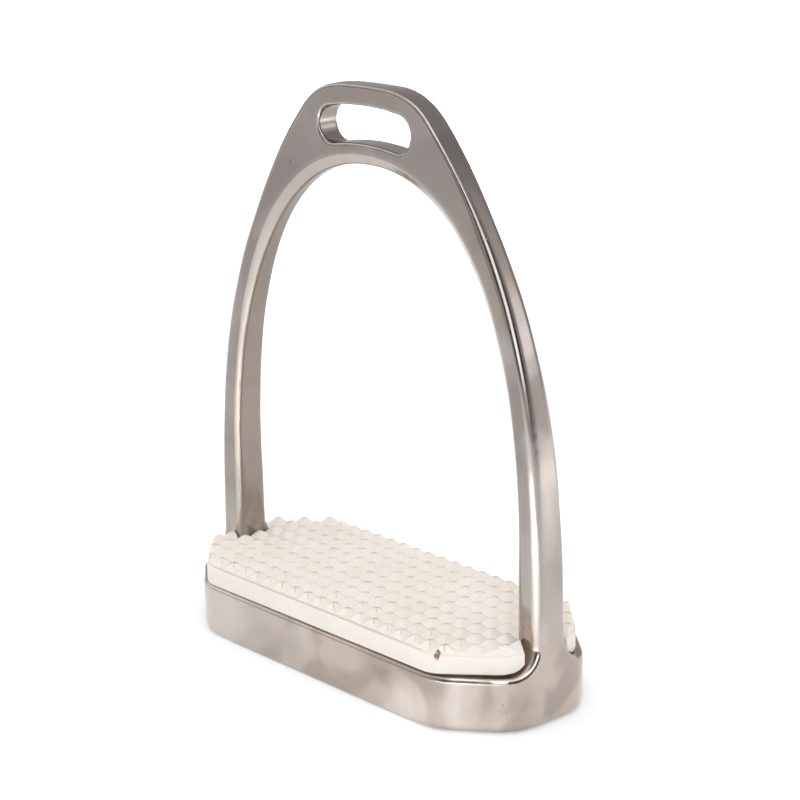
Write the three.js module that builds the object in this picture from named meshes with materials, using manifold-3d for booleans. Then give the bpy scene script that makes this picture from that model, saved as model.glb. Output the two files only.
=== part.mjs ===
// A Fillis stirrup iron: one polished stainless casting with a rubber tread that lifts out of its base.
// Millimetres. X runs across the foot from branch to branch, Y fore and aft, Z up.
// The origin is under the middle of the base, on the surface that the iron stands on.

import * as THREE from 'three';
import { mergeVertices } from 'three/addons/utils/BufferGeometryUtils.js';
import Module from 'manifold-3d';

const wasm = await Module();
wasm.setup();

// The base ring, an octagon in plan whose corners are rounded. longSide and endSide are where its
// straight long and end sides would meet the slanted ones, measured from the middle.
const BASE = { halfLength: 58.5, halfWidth: 23, longSide: 42.7, endSide: 10.7, height: 13.3 };
const BASE_CORNER_RADII = { long: 12, end: 14 };
const BASE_EDGE = 1.3;

// Three windows through the base: two crossbars stand between them.
const WINDOW = { halfWidth: 15.2, halfLength: 45.3, longSide: 37.4, endSide: 8, cornerRadius: 3 };
const CROSSBAR = { centre: 15.8, width: 6, foot: 2.5, height: 11.8 };
const RELIEF_RADIUS = 1;

// The two branches and the eye, seen from the front. The branches stand four inches apart.
const BRANCH = { outerFoot: 58.5, innerHalfWidth: 50.8, bend: 17.3, springing: 40.3 };
const OUTER_CONTROL = [[58.5, 60], [57.4, 96.2]];
const CROWN = { underside: 122.2, roundness: 2.2 };
const EYE = { shoulderX: 22.1, shoulderZ: 134.6, topZ: 141.2, topSideZ: 140.9, flatHalf: 8.9 };
const SHOULDER_CONTROL = [16.9, 140.2];

// Half of the depth of the branches: thickest at the foot, thinning evenly to the eye.
const DEPTH = { foot: 4.75, eye: 3.05, startZ: 10, endZ: 116, power: 1.7 };
const BRANCH_EDGE = 1.9;
const FOOT_FILLET = 6.4;

// The leather slot: a bowed slot with round ends, concentric with the crown above the foot opening.
const SLOT = { centreZ: 59.6, midRadius: 72.3, halfHeight: 4.4, halfWidth: 16.1 };

// The rubber tread: a plate over the base, with pyramids on top and a lug in each window.
const TREAD = { halfLength: 56.4, halfWidth: 22.7, longSide: 41.7, endSide: 10.2, top: 18.3 };
const TREAD_CORNER_RADII = { long: 5, end: 12 };
const TREAD_EDGE = 0.4;
const STUD = { pitchX: 4.83, pitchY: 4.93, rows: 9, columns: 23, height: 2, flat: 1.1, border: 0.55 };
const LUG = { gap: 0.4, foot: 5.1 };
const NOTCH = { startX: 51.8, startHalf: 4.85, endX: 59, endHalf: 8.2 };
const GAP = 0.4;

// How far pieces that are joined run into each other, and how far a cut runs past what it cuts.
const OVERLAP = 1;
const OVERRUN = 0.5;

// The straight steps that curves are drawn with.
const ARC_STEPS = 5;
const BEVEL_STEPS = 2;
const OUTLINE_STEPS = { side: 22, shoulder: 5, arch: 22 };
const WELD_DISTANCE = 1e-4;

function toSolid(geometry) {
  const bare = geometry.clone();
  bare.deleteAttribute('normal');
  bare.deleteAttribute('uv');
  const merged = mergeVertices(bare, WELD_DISTANCE);
  const vertProperties = new Float32Array(merged.attributes.position.array);
  const triVerts = new Uint32Array(merged.index.array);
  return new wasm.Manifold(new wasm.Mesh({ numProp: 3, vertProperties, triVerts }));
}

function toGeometry(solid) {
  const mesh = solid.getMesh();
  const geometry = new THREE.BufferGeometry();
  geometry.setAttribute('position', new THREE.BufferAttribute(mesh.vertProperties, 3));
  geometry.setIndex(new THREE.BufferAttribute(mesh.triVerts, 1));
  geometry.computeVertexNormals();
  return geometry;
}

// A closed shape through corner points [x, y, radius], each corner rounded by its own radius.
function roundedShape(corners) {
  const shape = new THREE.Shape();
  const points = corners.map(([x, y]) => new THREE.Vector2(x, y));
  points.forEach((corner, i) => {
    const toLast = points.at(i - 1).clone().sub(corner).normalize();
    const toNext = points[(i + 1) % points.length].clone().sub(corner).normalize();
    const halfAngle = Math.acos(toLast.dot(toNext)) / 2;
    const reach = corners[i][2] / Math.tan(halfAngle);
    const start = corner.clone().addScaledVector(toLast, reach);
    const end = corner.clone().addScaledVector(toNext, reach);
    if (i === 0) shape.moveTo(start.x, start.y);
    else shape.lineTo(start.x, start.y);
    shape.quadraticCurveTo(corner.x, corner.y, end.x, end.y);
  });
  shape.closePath();
  return shape;
}

// An octagon that is the same on both sides of X = 0 and of Y = 0, drawn anticlockwise.
function octagon({ halfLength, halfWidth, longSide, endSide }, radii, inset = 0) {
  const quarter = [
    [halfLength - inset, endSide, radii.end],
    [longSide, halfWidth - inset, radii.long],
  ];
  const left = quarter.map(([x, y, r]) => [-x, y, r]).reverse();
  const top = [...quarter, ...left];
  const bottom = top.map(([x, y, r]) => [-x, -y, r]);
  return roundedShape([...top, ...bottom]);
}

// Pushes a shape along +Z from zero to a length, taking a bevel off inside its outline at both ends.
function beveledExtrusion(shape, length, bevel) {
  const geometry = new THREE.ExtrudeGeometry(shape, {
    depth: length - 2 * bevel,
    curveSegments: ARC_STEPS,
    bevelEnabled: bevel > 0,
    bevelThickness: bevel,
    bevelSize: bevel,
    bevelOffset: -bevel,
    bevelSegments: BEVEL_STEPS,
  });
  return geometry.translate(0, 0, bevel);
}

function prism(shape, low, high, bevel = 0) {
  return toSolid(beveledExtrusion(shape, high - low, bevel).translate(0, 0, low));
}

// Turns a shape drawn in X and Z into a plate of the given half depth, standing across Y = 0.
function uprightPlate(shape, halfDepth, bevel = 0) {
  return beveledExtrusion(shape, 2 * halfDepth, bevel).translate(0, 0, -halfDepth).rotateX(Math.PI / 2);
}

// Half of the depth of the branches at a height.
function halfDepthAt(z) {
  const climbed = THREE.MathUtils.clamp((z - DEPTH.startZ) / (DEPTH.endZ - DEPTH.startZ), 0, 1);
  return DEPTH.foot - (DEPTH.foot - DEPTH.eye) * climbed ** DEPTH.power;
}

// The right half of the outer outline, from inside the base up to the middle of the top.
function outerHalf() {
  const control = OUTER_CONTROL.map(([x, z]) => new THREE.Vector2(x, z));
  const shoulder = new THREE.Vector2(EYE.shoulderX, EYE.shoulderZ);
  const foot = new THREE.Vector2(BRANCH.outerFoot, BRANCH.bend);
  const top = new THREE.Vector2(EYE.flatHalf, EYE.topSideZ);
  const side = new THREE.CubicBezierCurve(foot, ...control, shoulder);
  const turn = new THREE.QuadraticBezierCurve(shoulder, new THREE.Vector2(...SHOULDER_CONTROL), top);
  const low = new THREE.Vector2(BRANCH.outerFoot, BASE.height / 2);
  const sidePoints = side.getPoints(OUTLINE_STEPS.side);
  const turnPoints = turn.getPoints(OUTLINE_STEPS.shoulder).slice(1);
  return [low, ...sidePoints, ...turnPoints, new THREE.Vector2(0, EYE.topZ)];
}

// The right half of the foot opening: straight branches, then a Lamé curve over the crown.
function innerHalf() {
  const rise = CROWN.underside - BRANCH.springing;
  const low = new THREE.Vector2(BRANCH.innerHalfWidth, BASE.height / 2);
  const arch = Array.from({ length: OUTLINE_STEPS.arch + 1 }, (_, i) => {
    const angle = (i / OUTLINE_STEPS.arch) * (Math.PI / 2);
    const x = BRANCH.innerHalfWidth * Math.cos(angle) ** (2 / CROWN.roundness);
    const z = BRANCH.springing + rise * Math.sin(angle) ** (2 / CROWN.roundness);
    return new THREE.Vector2(x, z);
  });
  return [low, ...arch];
}

// Both branches and the eye as one plate, thickened or thinned to its depth at each height.
// grow makes it larger all round, for the room that the tread leaves beside the branches.
function archSolid(grow = 0) {
  const mirror = (points) => points.slice(0, -1).reverse().map(({ x, y }) => new THREE.Vector2(-x, y));
  const outer = outerHalf().map(({ x, y }) => new THREE.Vector2(x > 0 ? x + grow : x, y));
  const inner = innerHalf().map(({ x, y }) => new THREE.Vector2(Math.max(x - grow, 0), y));
  const innerLeftToRight = [...inner, ...mirror(inner)].reverse();
  const shape = new THREE.Shape([...outer, ...mirror(outer), ...innerLeftToRight]);
  const geometry = uprightPlate(shape, DEPTH.foot, BRANCH_EDGE);
  const position = geometry.attributes.position;
  for (let i = 0; i < position.count; i += 1) {
    const shift = halfDepthAt(position.getZ(i)) - DEPTH.foot + grow;
    position.setY(i, position.getY(i) + Math.sign(position.getY(i)) * shift);
  }
  return toSolid(geometry);
}

// The foot of the right branch: a hollow fillet, front and back, spreads it onto the base's rim.
function footSolid(grow = 0) {
  const half = halfDepthAt(BASE.height + FOOT_FILLET) + grow;
  const radius = FOOT_FILLET - grow;
  const low = BASE.height / 2;
  const top = BASE.height + FOOT_FILLET;
  const shape = new THREE.Shape();
  shape.moveTo(-half - radius, low);
  shape.lineTo(half + radius, low);
  shape.absarc(half + radius, top, radius, -Math.PI / 2, -Math.PI, true);
  shape.absarc(-half - radius, top, radius, 0, -Math.PI / 2, true);
  shape.closePath();
  const inner = BRANCH.innerHalfWidth - grow;
  const length = BRANCH.outerFoot + grow - inner;
  const geometry = beveledExtrusion(shape, length, BRANCH_EDGE);
  geometry.rotateX(Math.PI / 2).rotateZ(Math.PI / 2).translate(inner, 0, 0);
  return toSolid(geometry);
}

function branchSolids(grow = 0) {
  const right = footSolid(grow);
  return archSolid(grow).add(right).add(right.rotate([0, 0, 180]));
}

function slotSolid() {
  const halfAngle = Math.asin((SLOT.halfWidth - SLOT.halfHeight) / SLOT.midRadius);
  const up = Math.PI / 2;
  const endX = SLOT.midRadius * Math.sin(halfAngle);
  const endZ = SLOT.centreZ + SLOT.midRadius * Math.cos(halfAngle);
  const shape = new THREE.Shape();
  shape.absarc(0, SLOT.centreZ, SLOT.midRadius + SLOT.halfHeight, up - halfAngle, up + halfAngle, false);
  shape.absarc(-endX, endZ, SLOT.halfHeight, up + halfAngle, up + halfAngle + Math.PI, false);
  shape.absarc(0, SLOT.centreZ, SLOT.midRadius - SLOT.halfHeight, up + halfAngle, up - halfAngle, true);
  shape.absarc(endX, endZ, SLOT.halfHeight, up - halfAngle - Math.PI, up - halfAngle, false);
  return toSolid(uprightPlate(shape, 2 * DEPTH.eye));
}

// The plan outlines of the three windows, made smaller all round by inset.
function windowShapes(inset = 0) {
  const { halfWidth, halfLength, longSide, endSide, cornerRadius: r } = WINDOW;
  const barNear = CROSSBAR.centre - CROSSBAR.width / 2 - inset;
  const barFar = CROSSBAR.centre + CROSSBAR.width / 2 + inset;
  const y = halfWidth - inset;
  const x = halfLength - inset;
  const middle = [[barNear, y, r], [-barNear, y, r], [-barNear, -y, r], [barNear, -y, r]];
  const rightBack = [[x, endSide, r], [longSide, y, r], [barFar, y, r]];
  const rightFront = rightBack.map(([px, py, pr]) => [px, -py, pr]).reverse();
  const right = [...rightBack, ...rightFront];
  const left = right.map(([px, py, pr]) => [-px, -py, pr]);
  return [middle, right, left].map(roundedShape);
}

function baseSolid() {
  const ring = prism(octagon(BASE, BASE_CORNER_RADII), 0, BASE.height, BASE_EDGE);
  const tall = 2 * BASE.height;
  return windowShapes().reduce((solid, shape) => solid.subtract(prism(shape, -tall, tall)), ring);
}

// The crossbars are lower than the ring: the tread bears on the ring alone.
function crossbarRelief() {
  const y = WINDOW.halfWidth;
  const x = CROSSBAR.centre + CROSSBAR.width;
  const r = RELIEF_RADIUS;
  const shape = roundedShape([[x, y, r], [-x, y, r], [-x, -y, r], [x, -y, r]]);
  const above = prism(shape, CROSSBAR.height, 2 * BASE.height);
  const below = prism(shape, -BASE.height, CROSSBAR.foot);
  return above.add(below);
}

function ironMesh() {
  const plan = prism(octagon(BASE, BASE_CORNER_RADII), 0, 2 * EYE.topZ);
  const arch = branchSolids().intersect(plan).subtract(slotSolid());
  const solid = baseSolid().subtract(crossbarRelief()).add(arch);
  const material = new THREE.MeshStandardMaterial({ color: 0xa69c95, roughness: 0.28, metalness: 1 });
  const mesh = new THREE.Mesh(toGeometry(solid), material);
  mesh.name = 'iron';
  return mesh;
}

// Grooves run both ways across a block of the stud height and leave a grid of blunt pyramids.
function studField() {
  const outline = octagon(TREAD, TREAD_CORNER_RADII, STUD.border);
  const block = prism(outline, TREAD.top - OVERLAP, TREAD.top + STUD.height);
  const groove = (pitch, length) => {
    const deep = STUD.height + OVERRUN;
    const halfTop = ((pitch - STUD.flat) / 2) * (deep / STUD.height);
    const shape = new THREE.Shape();
    shape.moveTo(0, 0);
    shape.lineTo(halfTop, deep);
    shape.lineTo(-halfTop, deep);
    shape.closePath();
    return uprightPlate(shape, length).translate(0, 0, TREAD.top);
  };
  let field = block;
  for (let i = 0; i <= STUD.columns; i += 1) {
    const x = (i - STUD.columns / 2) * STUD.pitchX;
    field = field.subtract(toSolid(groove(STUD.pitchX, TREAD.halfWidth + OVERRUN).translate(x, 0, 0)));
  }
  for (let j = 0; j <= STUD.rows; j += 1) {
    const y = (j - STUD.rows / 2) * STUD.pitchY;
    const along = groove(STUD.pitchY, TREAD.halfLength + OVERRUN).rotateZ(Math.PI / 2).translate(0, y, 0);
    field = field.subtract(toSolid(along));
  }
  return field;
}

// The tread is cut away at both ends, where a branch stands up through it.
function notchSolid() {
  const { startX, startHalf, endX, endHalf } = NOTCH;
  const right = [[startX, -startHalf, 0], [endX, -endHalf, 0], [endX, endHalf, 0], [startX, startHalf, 0]];
  const left = right.map(([x, y, r]) => [-x, -y, r]);
  const wedges = [right, left].map((corners) => prism(roundedShape(corners), 0, 2 * TREAD.top));
  return branchSolids(GAP).add(wedges[0]).add(wedges[1]);
}

function treadMesh() {
  const outline = octagon(TREAD, TREAD_CORNER_RADII);
  const plate = prism(outline, BASE.height + GAP, TREAD.top, TREAD_EDGE);
  const lugs = windowShapes(LUG.gap).map((shape) => prism(shape, LUG.foot, TREAD.top - OVERLAP));
  const whole = lugs.reduce((solid, lug) => solid.add(lug), plate.add(studField()));
  const material = new THREE.MeshStandardMaterial({ color: 0xf2e8da, roughness: 0.75, metalness: 0 });
  const mesh = new THREE.Mesh(toGeometry(whole.subtract(notchSolid())), material);
  mesh.name = 'tread';
  return mesh;
}

const stirrup = new THREE.Group();
stirrup.add(ironMesh(), treadMesh());

export default stirrup;
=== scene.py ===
"""The looks of a Fillis stirrup iron: one polished stainless casting and its white rubber tread.

The iron is one smooth casting, so its surface is worked out as the zero of a distance function whose
edges and fillets have their real radii, then meshed. The tread is built from outlines and a field of
moulded pyramids. Shapes are drawn in millimetres and turned into metres when their mesh is made.
"""

import math

import bmesh
import bpy
import numpy as np
from mathutils import Matrix, Vector


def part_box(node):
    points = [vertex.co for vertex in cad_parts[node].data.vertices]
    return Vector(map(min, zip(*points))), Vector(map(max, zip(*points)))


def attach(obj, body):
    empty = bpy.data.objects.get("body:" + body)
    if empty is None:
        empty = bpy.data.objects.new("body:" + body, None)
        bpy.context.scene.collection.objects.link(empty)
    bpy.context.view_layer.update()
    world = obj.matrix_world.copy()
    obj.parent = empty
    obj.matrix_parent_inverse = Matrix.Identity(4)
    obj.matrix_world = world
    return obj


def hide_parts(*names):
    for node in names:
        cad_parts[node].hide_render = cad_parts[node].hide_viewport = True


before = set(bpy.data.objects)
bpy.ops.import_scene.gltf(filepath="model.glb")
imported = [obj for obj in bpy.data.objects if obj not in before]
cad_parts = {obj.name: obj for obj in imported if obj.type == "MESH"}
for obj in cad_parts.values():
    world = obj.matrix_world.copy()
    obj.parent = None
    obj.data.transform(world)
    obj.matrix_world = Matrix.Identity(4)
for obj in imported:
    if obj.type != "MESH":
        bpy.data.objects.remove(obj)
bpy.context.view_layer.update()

MM = 0.001
SEED = 41

iron_low, iron_high = (np.array(corner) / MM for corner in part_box("iron"))
_, tread_high = (np.array(corner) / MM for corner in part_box("tread"))

# The base ring, an octagon in plan. long_side and end_side are where its straight sides would meet the
# slanted ones, measured from the middle.
BASE = {"length": iron_high[0], "width": iron_high[1], "long_side": 42.7, "end_side": 10.7}
BASE_RADII = {"long": 12.0, "end": 14.0}
RIM = 13.3
RIM_EDGE = 1.0
# The radius of the lower edge along the long sides, and at the slanted corners and ends. It grows from
# one to the other between start and full, measured from the middle.
SOLE_EDGE = {"side": 1.3, "corner": 2.6, "start": 30.0, "full": 44.0}

WINDOW = {"length": 45.3, "width": 15.2, "long_side": 37.4, "end_side": 8.0}
WINDOW_RADII = {"long": 3.0, "end": 3.0}
WINDOW_EDGE = 0.8
CROSSBAR = {"centre": 15.8, "half_width": 3.0, "foot": 2.5, "top": 11.8, "edge": 1.0, "blend": 1.5}

# The branches and the eye, seen from the front.
BRANCH = {"inner": 50.8, "bend": 17.3, "springing": 40.3}
OUTER_CONTROL = [(58.5, 60.0), (57.4, 96.2)]
CROWN = {"underside": 122.2, "roundness": 2.2}
EYE = {"top": iron_high[2], "shoulder": (22.1, 134.6), "control": (16.9, 140.2), "flat": (8.9, 140.9)}
SLOT = {"centre": 59.6, "radius": 72.3, "half_height": 4.4, "half_width": 16.1, "edge": 0.5}

# Half of the depth of the branches, and how their edges are rounded off.
DEPTH = {"foot": 4.75, "eye": 3.05, "start": 10.0, "end": 116.0, "power": 1.7}
FOOT_FILLET = 6.4
OUTER_EDGE = {"rim": RIM_EDGE, "branch": 2.2, "eye": 0.4}
INNER_EDGE = {"branch": 1.7, "crown": 0.8}
CHAMFER = {"face": 2.9, "depth": 1.7, "branch_share": 0.55, "soften": 0.35}
CROWN_FADE = (62.0, 112.0)
EYE_FADE = (104.0, 134.0)
FACE_CROWNING = 0.35
RIPPLE = {"height": 0.035, "lengths": (9.0, 26.0), "waves": 14}

# How finely the iron is meshed and its outlines are kept, and how far past the iron their grids go. The
# paddings are in steps of their grid.
IRON_GRID = 0.55
IRON_PADDING = 2
FIELD_GRID = 0.3
FIELD_PADDING = 3
FIELD_MARGIN = 3.0
SETTLE_ROUNDS = 3
SLOPE_REACH = 0.03
LONGEST_MOVE = 0.4
LEAST_STEEPNESS = 0.2
SHORTEST_SQUARED = 1e-12

# The outlines of the front are halves: they start below the sole and are closed left of the middle.
OUTLINE_FOOT = -2 * RIM
OUTLINE_BACK = -9.0
SLOT_BOX = {"half_width": 30.0, "foot": 115.0}
CURVE_STEPS = {"side": 260, "shoulder": 40, "top": 24, "slot": 60, "base_corner": 12, "tread_corner": 6}
OPENING_POINTS = 361
FILLET_POINTS = 13
EDGE_STEPS = 3

TREAD = {"length": tread_high[0], "width": tread_high[1], "long_side": 41.7, "end_side": 10.2}
TREAD_RADII = {"long": 8.0, "end": 12.0}
TREAD_UNDERSIDE = 13.45
TREAD_FACE = 18.3
TREAD_EDGE = 0.45
STUD = {"pitch_x": 4.83, "pitch_y": 4.93, "rows": 9, "columns": 23, "apex": 2.57, "height": 2.0}
STUD_BORDER = 0.55
STUD_SOFTNESS = 0.45
RIDGE_SOFTNESS = 0.22
STUD_UNEVENNESS = 0.07
STUD_FOOT = 0.03
EXTRA_COLUMNS = 2
# Where the mesh has a line across a stud, from a valley at 0 to the middle of the stud at 1.
STUD_LINES = [0.0, 0.09, 0.3, 0.52, 0.68, 0.78, 0.88, 1.0]
# How far below the tread's face the block of studs starts and the lugs end, inside the plate that they
# are joined to, and how far below it the studs are trimmed.
OVERLAP = 1.0
TRIM_OVERLAP = 0.5
LUG = {"foot": 5.1, "gap": 0.4, "edge": 0.6}
NOTCH = {"start": (51.8, 4.85), "end": (59.0, 8.2), "gap": 0.4}
CUTTER = {"overrun": 2.0, "branch_top": 4 * RIM, "mouth_top": 3 * RIM}
CURL = {"height": 0.5, "corner": (51.0, -18.0), "reach": 26.0}
SHARP_ANGLE = 50.0


# --- Plane curves -----------------------------------------------------------------------------------


def bezier(points, steps):
    """A Bezier curve of any degree as steps + 1 points."""
    t = np.linspace(0.0, 1.0, steps + 1)[:, None]
    levels = [np.broadcast_to(np.array(p, float), (steps + 1, 2)) for p in points]
    while len(levels) > 1:
        levels = [a * (1 - t) + b * t for a, b in zip(levels, levels[1:])]
    return levels[0]


def rounded_outline(corners, steps):
    """A closed outline through corners (x, y, radius), each turned by a parabola of about that radius."""
    pieces = []
    for i, (x, y, radius) in enumerate(corners):
        corner = np.array([x, y])
        to_last = np.array(corners[i - 1][:2]) - corner
        to_next = np.array(corners[(i + 1) % len(corners)][:2]) - corner
        to_last = to_last / np.linalg.norm(to_last)
        to_next = to_next / np.linalg.norm(to_next)
        reach = radius / math.tan(math.acos(np.dot(to_last, to_next)) / 2)
        pieces.append(bezier([corner + to_last * reach, corner, corner + to_next * reach], steps))
    return np.concatenate(pieces)


def octagon(shape, radii, steps, inset=0.0):
    """An octagon alike on both sides of both axes, anticlockwise, with rounded corners."""
    quarter = [
        (shape["length"] - inset, shape["end_side"], radii["end"]),
        (shape["long_side"], shape["width"] - inset, radii["long"]),
    ]
    top = quarter + [(-x, y, r) for x, y, r in reversed(quarter)]
    return rounded_outline(top + [(-x, -y, r) for x, y, r in top], steps)


def outer_curve():
    """The right half of the outer outline in X and Z, from the sole up to the middle of the top."""
    foot = (BASE["length"], BRANCH["bend"])
    low = [(BASE["length"], OUTLINE_FOOT)]
    side = bezier([foot, *OUTER_CONTROL, EYE["shoulder"]], CURVE_STEPS["side"])
    turn = bezier([EYE["shoulder"], EYE["control"], EYE["flat"]], CURVE_STEPS["shoulder"])
    top_points = [EYE["flat"], (EYE["flat"][0] / 2, EYE["top"]), (0.0, EYE["top"])]
    top = bezier(top_points, CURVE_STEPS["top"])
    return np.concatenate([low, side, turn[1:], top[1:]])


def inner_curve():
    """The right half of the foot opening: a straight branch, then a Lame curve over the crown."""
    angle = np.linspace(0.0, math.pi / 2, OPENING_POINTS)
    power = 2 / CROWN["roundness"]
    rise = CROWN["underside"] - BRANCH["springing"]
    x = BRANCH["inner"] * np.clip(np.cos(angle), 0.0, 1.0) ** power
    z = BRANCH["springing"] + rise * np.sin(angle) ** power
    return np.concatenate([[(BRANCH["inner"], OUTLINE_FOOT)], np.stack([x, z], axis=1)])


def slot_curve():
    """The right half of the leather slot, a bowed slot with a round end, from its top to its foot."""
    half_angle = math.asin((SLOT["half_width"] - SLOT["half_height"]) / SLOT["radius"])

    def arc(radius, centre, start, end, count=CURVE_STEPS["slot"]):
        turn = np.linspace(start, end, count)
        return np.stack([centre[0] + radius * np.sin(turn), centre[1] + radius * np.cos(turn)], axis=1)

    middle = (0.0, SLOT["centre"])
    end = arc(SLOT["radius"], middle, half_angle, half_angle, 1)[0]
    upper = arc(SLOT["radius"] + SLOT["half_height"], middle, 0.0, half_angle)
    round_end = arc(SLOT["half_height"], end, half_angle, half_angle + math.pi)
    lower = arc(SLOT["radius"] - SLOT["half_height"], middle, half_angle, 0.0)
    return np.concatenate([upper, round_end[1:-1], lower])


# --- Distance fields --------------------------------------------------------------------------------


def segment_distance(points, curve, chunk=4_000_000):
    """The distance from each point to the nearest segment of an open curve."""
    start, along = curve[:-1], np.diff(curve, axis=0)
    length_squared = np.maximum((along**2).sum(axis=1), SHORTEST_SQUARED)
    distance = np.empty(len(points))
    for part in np.array_split(np.arange(len(points)), 1 + len(points) * len(start) // chunk):
        offset = points[part, None, :] - start
        t = np.clip((offset * along).sum(axis=-1) / length_squared, 0.0, 1.0)
        distance[part] = np.sqrt(((offset - t[..., None] * along) ** 2).sum(axis=-1).min(axis=1))
    return distance


def inside_polygon(points, polygon):
    """True for each point inside a closed polygon, by counting the sides to its right."""
    inside = np.zeros(len(points), bool)
    for a, b in zip(polygon, np.roll(polygon, -1, axis=0)):
        if a[1] == b[1]:
            continue
        crosses = (a[1] > points[:, 1]) != (b[1] > points[:, 1])
        side_x = a[0] + (points[:, 1] - a[1]) * (b[0] - a[0]) / (b[1] - a[1])
        inside ^= crosses & (points[:, 0] < side_x)
    return inside


class PlaneField:
    """The signed distance to a plane curve, negative inside it, kept on a grid and read smoothly."""

    def __init__(self, curve, closing, low, high):
        self.low = np.array(low) - FIELD_PADDING * FIELD_GRID
        beyond = (FIELD_PADDING + 1) * FIELD_GRID
        axes = [np.arange(a, b + beyond, FIELD_GRID) for a, b in zip(self.low, high)]
        points = np.stack(np.meshgrid(*axes, indexing="ij"), axis=-1).reshape(-1, 2)
        distance = segment_distance(points, curve)
        inside = inside_polygon(points, np.concatenate([curve, np.array(closing).reshape(-1, 2)]))
        self.values = np.where(inside, -distance, distance).reshape(len(axes[0]), len(axes[1]))

    @staticmethod
    def weights(t):
        """The four weights of a Catmull-Rom curve at t, which runs from 0 to 1."""
        return (
            ((2 - t) * t - 1) * t / 2,
            (t * t * (3 * t - 5) + 2) / 2,
            ((4 - 3 * t) * t + 1) * t / 2,
            (t - 1) * t * t / 2,
        )

    def __call__(self, u, v):
        """Reads the grid with curves through the four grid points around each place, both ways."""
        u = np.clip((u - self.low[0]) / FIELD_GRID, 1.0, self.values.shape[0] - 2.001)
        v = np.clip((v - self.low[1]) / FIELD_GRID, 1.0, self.values.shape[1] - 2.001)
        column, row = np.floor(u).astype(int), np.floor(v).astype(int)
        across = self.weights(u - column)
        up = self.weights(v - row)
        total = 0.0
        for i, weight_u in enumerate(across):
            for j, weight_v in enumerate(up):
                total = total + weight_u * weight_v * self.values[column + i - 1, row + j - 1]
        return total


def rounded_edge(a, b, radius):
    """Where two solids meet: what is inside both, with the edge between them rounded."""
    corner = np.hypot(np.maximum(a + radius, 0.0), np.maximum(b + radius, 0.0))
    return np.minimum(np.maximum(a, b), -radius) + corner


def blended_join(a, b, width):
    """The two solids together, with a hollow fillet about as wide as width between them."""
    near = np.maximum(width - np.abs(a - b), 0.0) / width
    return np.minimum(a, b) - near * near * width / 4


def smooth_step(value, low, high):
    t = np.clip((value - low) / (high - low), 0.0, 1.0)
    return t * t * (3 - 2 * t)


def mix(a, b, t):
    return a + (b - a) * t


def half_depth(z):
    """Half of the depth of the branches at a height."""
    climbed = np.clip((z - DEPTH["start"]) / (DEPTH["end"] - DEPTH["start"]), 0.0, 1.0)
    return DEPTH["foot"] - (DEPTH["foot"] - DEPTH["eye"]) * climbed ** DEPTH["power"]


def side_profile(y, z):
    """The rim, the branch's foot fillet and the branch, seen from the end: the distance to them."""
    fillet_top = RIM + FOOT_FILLET
    branch = half_depth(np.maximum(z, fillet_top))
    toe = branch + FOOT_FILLET
    hollow = FOOT_FILLET - np.hypot(np.minimum(y - toe, 0.0), np.minimum(z - fillet_top, 0.0))
    low = np.where(y < toe, hollow, z - RIM)
    return np.where(z < fillet_top, low, y - branch)


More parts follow.
